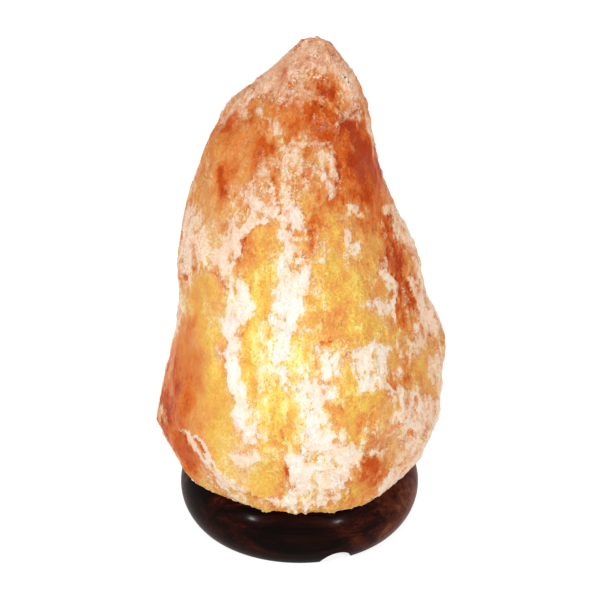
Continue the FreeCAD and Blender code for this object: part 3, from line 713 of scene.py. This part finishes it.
def salt_pattern(points, normals, picture, facing):
    """How pale, how hot or painted dark with shade, glowing and smooth the rock is at each point, and how far
    it stands up in metres.
    """
    fibres = points * FIBRE_STRETCH
    wander = np.stack([layered(points, WANDER, seed, 4) for seed in (31, 37)], axis=-1)
    flutter = np.stack([layered(fibres, FLUTTER, seed, 3) for seed in (41, 47)], axis=-1)
    seen = picture + wander * STROKE_WANDER_PX + flutter * STROKE_FLUTTER_PX
    seen_plates = picture + wander * LEDGE_SHIFT_PX + flutter * LEDGE_SHIFT_PX
    raised, plate_pale, shadow = stepped(seen_plates, LEDGES_PX) * facing
    golden = stroked(seen, GOLDEN_STROKES_PX) * facing
    rust_behind = smoothstep(0.1, 0.8, layered(points, RUST_FIELD, 57, 3))
    rust = mixed(rust_behind, stroked(seen, RUST_STROKES_PX), facing)
    smooth_behind = smoothstep(0.0, 0.5, layered(points, SMOOTH_FIELD, 61, 2))
    smooth = mixed(smooth_behind, stroked(picture, SMOOTH_STROKES_PX), facing)
    rough = 1 - 0.8 * smooth

    patches = layered(fibres + 2 * MM * flutter[:, :1], PATCH, 53, 5)
    chips = chipped(points + 1 * MM * flutter[:, :1], CHIP, 83)
    flakes = chipped(fibres, FLAKE, 97)
    pale_behind = smoothstep(-0.6, 0.7, layered(fibres, PALE_FIELD, 51, 3)) * 0.8
    pale_seen = np.maximum(0.95 * stroked(seen, PALE_STROKES_PX), plate_pale)
    pale_seen = pale_seen * (1 - 0.75 * golden)
    pale_seen = pale_seen + 0.16 * smoothstep(*PALER_ROWS_PX, picture[:, 1]) * (1 - pale_seen)
    # Paler where the rock turns away from the camera: partly frost, partly a painted sheen along the
    # silhouette
    frost_and_sheen_rim = np.exp(-(((normals @ TO_CAMERA) / 0.3) ** 2))
    pale = mixed(pale_behind, pale_seen, facing) + 0.24 * frost_and_sheen_rim * (1 - rust)
    # Ridges of the patches, chips and flakes are paler than their hollows: partly frost, partly painted shade
    # in the hollows
    pale = pale + (0.48 * patches + 0.16 * chips + 0.10 * flakes) * rough - 0.30 * rust * facing

    crust = smoothstep(0.40, 0.62, pale)
    relief = 0.50 * chips * rough + (0.35 + 0.65 * crust) * 0.50 * flakes * rough
    relief = relief + 0.35 * crust + 0.25 * patches * rough - 0.30
    glow = glowing(points, picture, facing)
    # Heat: gold and the painted glow warm the tone and rust deepens it. The painted shadow beside plate edges
    # and the painted shade in the chips' hollows darken it
    heat_and_shade = 0.36 + 0.30 * glow + 0.16 * golden - 0.42 * rust - 0.30 * shadow
    heat_and_shade = heat_and_shade + 0.12 * layered(fibres, PATCH, 67, 5) + 0.07 * chips * rough
    return np.stack([pale, heat_and_shade, glow, smooth], axis=-1), relief * MM + raised


def make_crystal():
    """The crystal with its splits, chips and flakes, and the marks that its material reads."""
    crystal = remeshed("salt_crystal", "crystal", VOXEL, WEAR_PASSES)
    mesh = crystal.data
    points = read(mesh.vertices, "co")
    normals = read(mesh.vertex_normals, "vector")
    picture = in_picture(points)
    facing = smoothstep(-0.05, 0.25, normals @ TO_CAMERA)
    values, raised = salt_pattern(points, normals, picture, facing)
    points = points + normals * (outer_skin(points, normals) * raised)[:, None]
    mesh.vertices.foreach_set("co", points.astype(np.float32).ravel())
    marks = mesh.color_attributes.new("marks", "FLOAT_COLOR", "POINT")
    marks.data.foreach_set("color", values.astype(np.float32).ravel())
    mesh.polygons.foreach_set("use_smooth", np.ones(len(mesh.polygons), bool))
    mesh.update()

    hidden = FAR_PX * (facing < 0.5)
    specks = [points[np.argmin(np.linalg.norm(picture - speck, axis=-1) + hidden)] for speck in SPECKS_PX]
    mesh.materials.append(salt_material(specks))
    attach(crystal, "lamp_body")
    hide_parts("salt_crystal")


# Material of the crystal. Its colours run along a tone or a shade from 0 to 1. Both rise with the glow, so
# the glow is painted into the colours as well. Its light runs along the glow.
CLEAR_SALT = [
    (0.00, linear(184, 66, 18)),
    (0.15, linear(211, 96, 34)),
    (0.30, linear(226, 132, 66)),
    (0.45, linear(235, 162, 92)),
    (0.60, linear(239, 182, 88)),
    (0.75, linear(243, 202, 102)),
    (0.88, linear(249, 225, 132)),
    (1.00, linear(254, 245, 188)),
]
THIN_SALT = [(0.0, linear(226, 156, 112)), (0.5, linear(243, 202, 142)), (1.0, linear(251, 235, 180))]
CRUSHED_SALT = [
    (0.00, linear(238, 190, 156)),
    (0.30, linear(250, 224, 202)),
    (0.60, linear(253, 238, 226)),
    (1.00, linear(255, 250, 244)),
]
LIGHT_THROUGH_CLEAR = [
    (0.00, (0.29, 0.24, 0.16)),
    (0.35, (0.34, 0.31, 0.21)),
    (0.70, (0.41, 0.41, 0.30)),
    (1.00, (0.51, 0.51, 0.40)),
]
LIGHT_THROUGH_CRUST = [
    (0.00, (0.38, 0.31, 0.25)),
    (0.35, (0.41, 0.36, 0.31)),
    (0.70, (0.44, 0.41, 0.37)),
    (1.00, (0.50, 0.48, 0.48)),
]
GLINT = linear(255, 246, 230)
DARK_SPECK = linear(74, 36, 22)


def salt_marks(material):
    """What the crystal's mesh says at each point: how pale, how hot or painted dark with shade, glowing and
    smooth the rock is.
    """
    attribute = add(material, "Attribute", attribute_name="marks")
    split = add(material, "SeparateColor")
    link(material, attribute.outputs["Color"], split.inputs["Color"])
    return *split.outputs, attribute.outputs["Alpha"]


def specked(material, colour, specks):
    """A colour with a small dark speck at each of the places."""
    for speck in specks:
        away = add(material, "VectorMath", operation="DISTANCE")
        link(material, place(material), away.inputs[0])
        away.inputs[1].default_value = speck
        spot = mapped(material, away.outputs["Value"], 0.4 * MM, 0.8 * MM, 0.85, 0.0)
        colour = blended(material, spot, colour, DARK_SPECK)
    return colour


def covered(material, edge, sharp, glow):
    """How far a thin veil and a thick crust of crushed salt cover the clear rock."""
    veil = times(material, mapped(material, edge, 0.05, 0.55), mapped(material, sharp, 0, 1, 0.85, 0.30))
    soft_share = mapped(material, glow, 0.08, 0.45, 0.72, 0.50)
    hard_share = mapped(material, glow, 0.08, 0.45, 0.16, 0.45)
    soft = times(material, mapped(material, edge, 0.36, 0.95), soft_share)
    return veil, summed(material, soft, (mapped(material, edge, 0.50, 0.57), hard_share))


def grained(material, colour, edge, crust, patchy, grain):
    """A colour with glints along the veils and a fine grain that is deepest in clear rock."""
    glints = mapped(material, noise_node(material, 0.9 * MM, detail=1), 0.58, 0.64, 0.0, 0.9)
    glints = times(material, times(material, glints, patchy), mapped(material, edge, 0.12, 0.36))
    colour = blended(material, glints, colour, GLINT)
    depth = summed(material, mapped(material, crust, 0, 1, 0.7, 0.1), (patchy, 0.9))
    shade = summed(material, 0.99, (centred(material, grain, 1.1), depth))
    return blended(material, 1.0, colour, shade, "MULTIPLY")


def lit_through(material, colour, glow, crust):
    """A colour as the bulb's light brings it through clear rock and through crust."""
    clear, crusted = ramp(material, glow, LIGHT_THROUGH_CLEAR), ramp(material, glow, LIGHT_THROUGH_CRUST)
    return blended(material, 1.0, colour, blended(material, crust, clear, crusted), "MULTIPLY")


def salt_material(specks):
    """Rock salt: clear amber to rust under veils and crusts of pale crushed salt, lit from inside."""
    material, shader = new_material(
        "rock_salt",
        Specular_IOR_Level=0.05,
        Emission_Strength=1.0,
        Subsurface_Weight=0.12,
        Subsurface_Radius=(1.0, 0.45, 0.2),
        Subsurface_Scale=2 * MM,
    )
    pale, heat_and_shade, glow, smooth = salt_marks(material)
    rough = mapped(material, smooth, 0, 1, 1.0, 0.3)
    calm = mapped(material, smooth, 0, 1, 1.0, 0.45)
    fibre = noise_node(material, 5 * MM, (1, 1, 0.45), detail=5, roughness=0.62)
    hair = noise_node(material, 1.4 * MM, (1, 1, 0.45), detail=3, roughness=0.6)
    cloud = noise_node(material, 8 * MM, (1, 1, 0.6), detail=8, roughness=0.62)
    big, big_distance = ragged(material, 4.2 * MM, 0)
    small, small_distance = ragged(material, 1.6 * MM, 1)
    fibre, hair, big, small = (centred(material, value, rough) for value in (fibre, hair, big, small))
    cloud = centred(material, cloud, calm)
    grain = noise_node(material, 0.9 * MM, (1, 1, 0.7), detail=3, roughness=0.6)
    patchy = times(material, mapped(material, noise_node(material, 6 * MM, detail=3), 0.42, 0.60), rough)
    sharp = mapped(material, noise_node(material, 11 * MM, (1, 1, 0.7), detail=4), 0.44, 0.58)
    edge = summed(material, pale, (fibre, 1.2), (big, 0.34), (small, 0.30), (hair, 0.30))
    veil, crust = covered(material, edge, sharp, glow)

    border = times(material, mapped(material, edge, 0.22, 0.48), sharp)
    tone = summed(material, heat_and_shade, (cloud, 0.85), (fibre, 0.45), (big, 0.10), (small, 0.10), (hair, 0.20))
    tone = summed(material, tone, (border, -0.20))
    # The shade starts from the glow: painted glow that makes the veils and crusts paler and whiter near the
    # bulb
    shade = summed(material, glow, (cloud, 1.5), (big, 0.25), (small, 0.25), (centred(material, grain), 0.9))
    colour = blended(material, veil, ramp(material, tone, CLEAR_SALT), ramp(material, shade, THIN_SALT))
    colour = blended(material, crust, colour, ramp(material, shade, CRUSHED_SALT))
    colour = specked(material, grained(material, colour, edge, crust, patchy, grain), specks)
    link(material, colour, shader.inputs["Base Color"])
    link(material, lit_through(material, colour, glow, crust), shader.inputs["Emission Color"])
    link(material, mapped(material, crust, 0, 1, 0.30, 0.60), shader.inputs["Roughness"])

    lumps = times(material, noise_node(material, 4 * MM, (1, 1, 0.6), detail=3), rough)
    cells = summed(material, big_distance, (small_distance, 0.4))
    crust_edge = summed(material, edge, (crust, 0.5))
    grit = times(material, grain, summed(material, 0.3, (patchy, 0.7)))
    below = None
    layers = (lumps, 2.2, 0.9), (cells, 1.2, 0.7), (crust_edge, 0.5, 0.6), (grit, 0.4, 0.7)
    for height, depth, strength in layers:
        below = bumped(material, shader, height, depth * MM, strength, below)
    return material


# Materials of the base, the lampholder and the bulb
STAINED_WOOD = [
    (0.38, linear(12, 3, 1)),
    (0.48, linear(32, 7, 3)),
    (0.58, linear(50, 14, 6)),
    (0.74, linear(98, 41, 21)),
    (0.95, linear(150, 84, 50)),
]

# Metals: a light and a dark colour, the stretch of their marks and their roughness
METALS = [
    ("zinc_steel", (214, 216, 214), (172, 176, 178), (1, 1, 0.2), 0.32),
    ("spring_steel", (205, 207, 210), (150, 152, 158), (1, 1, 0.1), 0.22),
    ("shell_brass", (232, 196, 118), (196, 152, 74), (1, 1, 4), 0.25),
    ("cap_metal", (224, 208, 162), (186, 166, 116), (1, 1, 4), 0.22),
    ("solder", (196, 198, 202), (150, 150, 156), (1, 1, 1), 0.40),
]

# Mouldings: a light and a dark colour, roughness and specular level
MOULDINGS = [
    ("moulded_white", (234, 230, 218), (220, 214, 198), 0.38, 0.5),
    ("porcelain", (240, 234, 220), (226, 216, 196), 0.16, 0.5),
    ("nylon", (226, 222, 208), (206, 200, 182), 0.55, 0.3),
    ("black_rubber", (46, 46, 48), (26, 26, 28), 0.75, 0.25),
    ("black_glass", (40, 34, 48), (22, 18, 28), 0.08, 0.5),
]


def rightward(material):
    """How far to the right of the lamp's axis a point is, in metres."""
    split = add(material, "SeparateXYZ")
    link(material, place(material), split.inputs["Vector"])
    return split.outputs["X"]


def wood():
    """Dark stained wood with long fibres, open pores and a clear lacquer."""
    material, shader = new_material(
        "turned_wood", Roughness=0.30, Specular_IOR_Level=0.01, Coat_Weight=0.07, Coat_Roughness=0.14
    )
    figure = noise_node(material, 12 * MM, (0.07, 1, 1), detail=4, roughness=0.55, distortion=0.6)
    fibre = noise_node(material, 1.6 * MM, (0.05, 1, 1), detail=6, roughness=0.65)
    pores = noise_node(material, 0.7 * MM, (0.06, 1, 1), detail=2)
    paler = mapped(material, rightward(material), 22 * MM, 58 * MM, 0.0, 0.26)
    tone = calculated(material, "ADD", summed(material, figure, (centred(material, fibre), 0.5)), paler)
    colour = ramp(material, tone, STAINED_WOOD)
    dark_pores = mapped(material, pores, 0.30, 0.42, 0.65, 1.0)
    link(material, blended(material, 1.0, colour, dark_pores, "MULTIPLY"), shader.inputs["Base Color"])
    bumped(material, shader, fibre, 0.12 * MM, 0.5)
    return material


def felt():
    """Matted wool."""
    material, shader = new_material("felt", Roughness=0.95, Specular_IOR_Level=0.1, Sheen_Weight=0.3)
    strands = noise_node(material, 0.5 * MM, (1, 1, 2.5), detail=6, roughness=0.7, distortion=2.0)
    clumps = noise_node(material, 2.5 * MM, detail=3)
    tone = summed(material, strands, (centred(material, clumps), 0.5))
    colour = ramp(material, tone, [(0.3, linear(52, 48, 44)), (0.7, linear(104, 98, 90))])
    link(material, colour, shader.inputs["Base Color"])
    bumped(material, shader, strands, 0.3 * MM, 0.8)
    return material


def steel(name, light, dark, stretch, roughness):
    """Bright metal with fine marks of drawing or rolling along one axis and a slight mottle."""
    material, shader = new_material(name, Roughness=roughness, Metallic=1.0)
    marks = noise_node(material, 0.35 * MM, stretch, detail=3)
    mottle = noise_node(material, 3 * MM, detail=4)
    tone = summed(material, marks, (centred(material, mottle), 0.8))
    gloss = mapped(material, tone, 0.3, 0.7, roughness * 0.7, roughness * 1.4)
    link(material, ramp(material, tone, [(0.25, dark), (0.75, light)]), shader.inputs["Base Color"])
    link(material, gloss, shader.inputs["Roughness"])
    bumped(material, shader, marks, 0.02 * MM, 0.5)
    return material


def moulded(name, light, dark, roughness, specular):
    """Moulded material with a faint flow mottle and a fine orange-peel face."""
    material, shader = new_material(name, Roughness=roughness, Specular_IOR_Level=specular)
    mottle = noise_node(material, 6 * MM, (1, 1, 0.5), detail=5)
    peel = noise_node(material, 0.5 * MM, detail=2)
    gloss = mapped(material, mottle, 0.3, 0.7, roughness * 0.8, roughness * 1.25)
    link(material, ramp(material, mottle, [(0.3, dark), (0.7, light)]), shader.inputs["Base Color"])
    link(material, gloss, shader.inputs["Roughness"])
    bumped(material, shader, peel, 0.03 * MM, 0.5)
    return material


def glass(name, tint, glow):
    """Clear glass that shows at its edges and in its gloss, with a warm glow in it."""
    material, shader = new_material(name, Roughness=0.04, Emission_Strength=glow)
    edge = add(material, "LayerWeight", Blend=0.35)
    link(material, mapped(material, edge.outputs["Facing"], 0.1, 1.0, 0.16, 0.85), shader.inputs["Alpha"])
    haze = noise_node(material, 5 * MM, detail=3)
    colour = ramp(material, haze, [(0.3, tuple(0.9 * part for part in tint)), (0.7, tint)])
    link(material, colour, shader.inputs["Base Color"])
    link(material, colour, shader.inputs["Emission Color"])
    return material


def hot_wire():
    """Tungsten wire that glows, whiter in the middle of its arch than at its ends."""
    material, shader = new_material("hot_filament", Roughness=0.4, Emission_Strength=6.0)
    outward = mapped(material, calculated(material, "ABSOLUTE", rightward(material)), 0, 4.5 * MM)
    colour = ramp(material, outward, [(0.3, linear(255, 236, 190)), (1.0, linear(255, 150, 60))])
    link(material, colour, shader.inputs["Base Color"])
    link(material, colour, shader.inputs["Emission Color"])
    return material


def paint_nodes():
    """Makes the finishes and gives every carried-over node the one of its slot."""
    finishes = {
        "turned_wood": wood(),
        "felt": felt(),
        "bulb_glass": glass("bulb_glass", (1.0, 0.93, 0.82), 0.5),
        "stem_glass": glass("stem_glass", (0.92, 0.96, 0.93), 0.2),
        "hot_filament": hot_wire(),
    }
    for name, light, dark, stretch, roughness in METALS:
        finishes[name] = steel(name, linear(*light), linear(*dark), stretch, roughness)
    for name, light, dark, roughness, specular in MOULDINGS:
        finishes[name] = moulded(name, linear(*light), linear(*dark), roughness, specular)
    for node, body in frame["nodes"].items():
        if slot_of[node] in finishes:
            body.data.materials.clear()
            body.data.materials.append(finishes[slot_of[node]])
    return finishes


# Pieces that replace plain stand-ins: the rolled threads and the coiled filament


def mesh_piece(name, points, faces, body, node, material):
    """A smooth piece in place of one CAD node, with that node's slot."""
    mesh = bpy.data.meshes.new(name)
    mesh.from_pydata(points, [], faces)
    mesh.polygons.foreach_set("use_smooth", [True] * len(mesh.polygons))
    mesh.materials.append(material)
    piece = bpy.data.objects.new(name, mesh)
    scene.collection.objects.link(piece)
    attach(piece, body)
    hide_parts(node)


def ring_faces(rings, sides, closed):
    """Quads between neighbouring rings of points, and between the last and the first if closed."""
    faces = []
    for ring in range(rings if closed else rings - 1):
        here, above = ring * sides, (ring + 1) % rings * sides
        for side in range(sides):
            after = (side + 1) % sides
            faces.append((here + side, here + after, above + after, above + side))
    return faces


def threaded_sleeve(name, outline, thread_low, thread_high, body, node, material):
    """A sleeve turned from a closed outline of radii and heights. Its thread runs between two heights."""
    corners = np.array(outline + outline[:1])
    steps = [max(1, round(np.linalg.norm(run) / THREAD_STEP)) for run in np.diff(corners, axis=0)]
    runs = zip(corners, corners[1:], steps)
    stations = [np.linspace(start, end, count, endpoint=False) for start, end, count in runs]
    radius, height = np.concatenate(stations).T
    turn = np.linspace(0, 2 * math.pi, THREAD_SIDES, endpoint=False)
    fade = smoothstep(thread_low, thread_low + THREAD_PITCH / 2, height)
    fade = fade * (1 - smoothstep(thread_high - THREAD_PITCH / 2, thread_high, height))
    phase = 2 * math.pi * height[:, None] / THREAD_PITCH - turn
    reach = radius[:, None] + THREAD_DEPTH / 2 * fade[:, None] * np.cos(phase)
    level = np.broadcast_to(height[:, None], reach.shape)
    points = np.stack([reach * np.cos(turn), reach * np.sin(turn), level], axis=-1).reshape(-1, 3)
    mesh_piece(name, points.tolist(), ring_faces(len(radius), THREAD_SIDES, True), body, node, material)


def make_cap(material):
    """The bulb's cap with its rolled thread below a plain collar."""
    low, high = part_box("bulb_cap")
    radius = high.x - THREAD_DEPTH / 5
    foot = radius - CAP_FOOT
    outline = [
        (CAP_HOLE, low.z),
        (foot, low.z),
        (radius, low.z + CAP_FOOT),
        (radius, high.z),
        (radius - CAP_WALL, high.z),
        (radius - CAP_WALL, low.z + CAP_FOOT),
        (foot - CAP_WALL / 2, low.z + CAP_WALL),
        (CAP_HOLE, low.z + CAP_WALL),
    ]
    glass_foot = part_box("bulb_glass")[0].z
    threaded_sleeve("rolled_cap", outline, low.z + CAP_FOOT, glass_foot, "bulb", "bulb_cap", material)


def make_shell(material):
    """The lampholder's screw shell with the same thread."""
    low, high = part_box("screw_shell")
    outer = high.x - THREAD_DEPTH / 5
    inner = outer - SHELL_WALL
    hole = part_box("bulb_tip")[1].x + SHELL_CLEARANCE
    floor = low.z + SHELL_WALL
    outline = [(hole, low.z), (outer, low.z), (outer, high.z), (inner, high.z)]
    outline += [(inner, floor), (hole, floor)]
    start, end = low.z + SHELL_PLAIN_BELOW, high.z - SHELL_PLAIN_ABOVE
    threaded_sleeve("rolled_shell", outline, start, end, "holder", "screw_shell", material)


def tube(path, radius, sides):
    """Points and faces of a round tube along a path, closed at its ends."""
    along = np.gradient(path, axis=0)
    along /= np.linalg.norm(along, axis=-1, keepdims=True)
    across = np.cross(along[0], OFF_THE_WIRE)
    turn = np.linspace(0, 2 * math.pi, sides, endpoint=False)[:, None]
    rings = []
    for point, direction in zip(path, along):
        across = across - direction * (across @ direction)
        across /= np.linalg.norm(across)
        rings.append(point + radius * (np.cos(turn) * across + np.sin(turn) * np.cross(direction, across)))
    faces = ring_faces(len(path), sides, False)
    faces += [tuple(range(sides))[::-1], tuple(range((len(path) - 1) * sides, len(path) * sides))]
    return np.concatenate(rings).tolist(), faces


def make_coil(material):
    """The filament: a fine coil along an arch, with straight ends on the support wires."""
    low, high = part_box("bulb_filament")
    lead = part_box("bulb_leads")[1].x - LEAD_RADIUS
    share = np.linspace(-1, 1, COIL_TURNS * STEPS_PER_TURN)
    arch_x = share * high.x
    arch_z = low.z + COIL_RADIUS + (high.z - low.z - 2 * COIL_RADIUS) * (1 - share**2)
    slope = np.gradient(arch_z, arch_x)
    lean = np.stack([-slope, np.zeros_like(slope), np.ones_like(slope)], axis=-1)
    lean /= np.linalg.norm(lean, axis=-1, keepdims=True)
    angle = (math.pi * COIL_TURNS * share)[:, None]
    radius = (COIL_RADIUS - COIL_WIRE) * smoothstep(1.0, 0.9, np.abs(share))[:, None]
    path = np.stack([arch_x, np.zeros_like(arch_x), arch_z], axis=-1)
    path = path + radius * (np.cos(angle) * lean + np.sin(angle) * np.array((0, 1, 0)))
    ends = [np.array([(side * lead, 0, path[row, 2])]) for side, row in ((LEFT, 0), (RIGHT, -1))]
    points, faces = tube(np.concatenate([ends[0], path, ends[1]]), COIL_WIRE, WIRE_SIDES)
    mesh_piece("coiled_filament", points, faces, "bulb", "bulb_filament", material)


# Stage


def seen_white(owner):
    """1 for what the camera, gloss or glass sees, and 0 for the light between the pieces."""
    path = add(owner, "LightPath")
    seen = calculated(owner, "MAXIMUM", path.outputs["Is Camera Ray"], path.outputs["Is Glossy Ray"])
    return calculated(owner, "MAXIMUM", seen, path.outputs["Is Transmission Ray"])


def pale_floor():
    """Pale paint with a white of its own where the camera, gloss or glass sees it, and clear from below."""
    material = bpy.data.materials.new("pale_floor")
    material.use_nodes = True
    material.node_tree.nodes.clear()
    paint = add(material, "BsdfDiffuse", Color=FLOOR_PAINT)
    white = add(material, "Emission")
    link(material, times(material, seen_white(material), FLOOR_WHITE), white.inputs["Strength"])
    both = add(material, "AddShader")
    link(material, paint.outputs[0], both.inputs[0])
    link(material, white.outputs[0], both.inputs[1])
    one_sided = add(material, "MixShader")
    link(material, add(material, "NewGeometry").outputs["Backfacing"], one_sided.inputs["Fac"])
    link(material, both.outputs[0], one_sided.inputs[1])
    link(material, add(material, "BsdfTransparent").outputs[0], one_sided.inputs[2])
    link(material, one_sided.outputs[0], add(material, "OutputMaterial").inputs["Surface"])
    return material


def make_stage():
    """A wide floor under the lamp."""
    mesh = bpy.data.meshes.new("floor")
    half = FLOOR_HALF
    corners = [(-half, -half, 0), (half, -half, 0), (half, half, 0), (-half, half, 0)]
    mesh.from_pydata(corners, [], [(0, 1, 2, 3)])
    mesh.materials.append(pale_floor())
    floor = bpy.data.objects.new("floor", mesh)
    scene.collection.objects.link(floor)


def make_world():
    """Even soft light from all round, white where the camera, gloss or glass sees it."""
    world = bpy.data.worlds.new("world")
    world.use_nodes = True
    background = world.node_tree.nodes["Background"]
    background.inputs["Color"].default_value = (1, 1, 1, 1)
    link(world, mapped(world, seen_white(world), 0, 1, WORLD_LIGHT, 1.0), background.inputs["Strength"])
    scene.world = world


def make_lights():
    """Two soft square lights in front, whose reflections lie on the shoulder of the base."""
    for name, location, power in LIGHTS:
        data = bpy.data.lights.new(name, "AREA")
        data.size = LIGHT_SIZE
        data.energy = power
        light = bpy.data.objects.new(name, data)
        light.location = location
        light.rotation_mode = "QUATERNION"
        light.rotation_quaternion = (LIGHT_AIM - light.location).to_track_quat("-Z", "Y")
        scene.collection.objects.link(light)


make_camera()
make_stage()
make_world()
make_lights()
make_crystal()
finishes = paint_nodes()
make_cap(finishes["cap_metal"])
make_shell(finishes["shell_brass"])
make_coil(finishes["hot_filament"])
scene.view_settings.view_transform = "Standard"
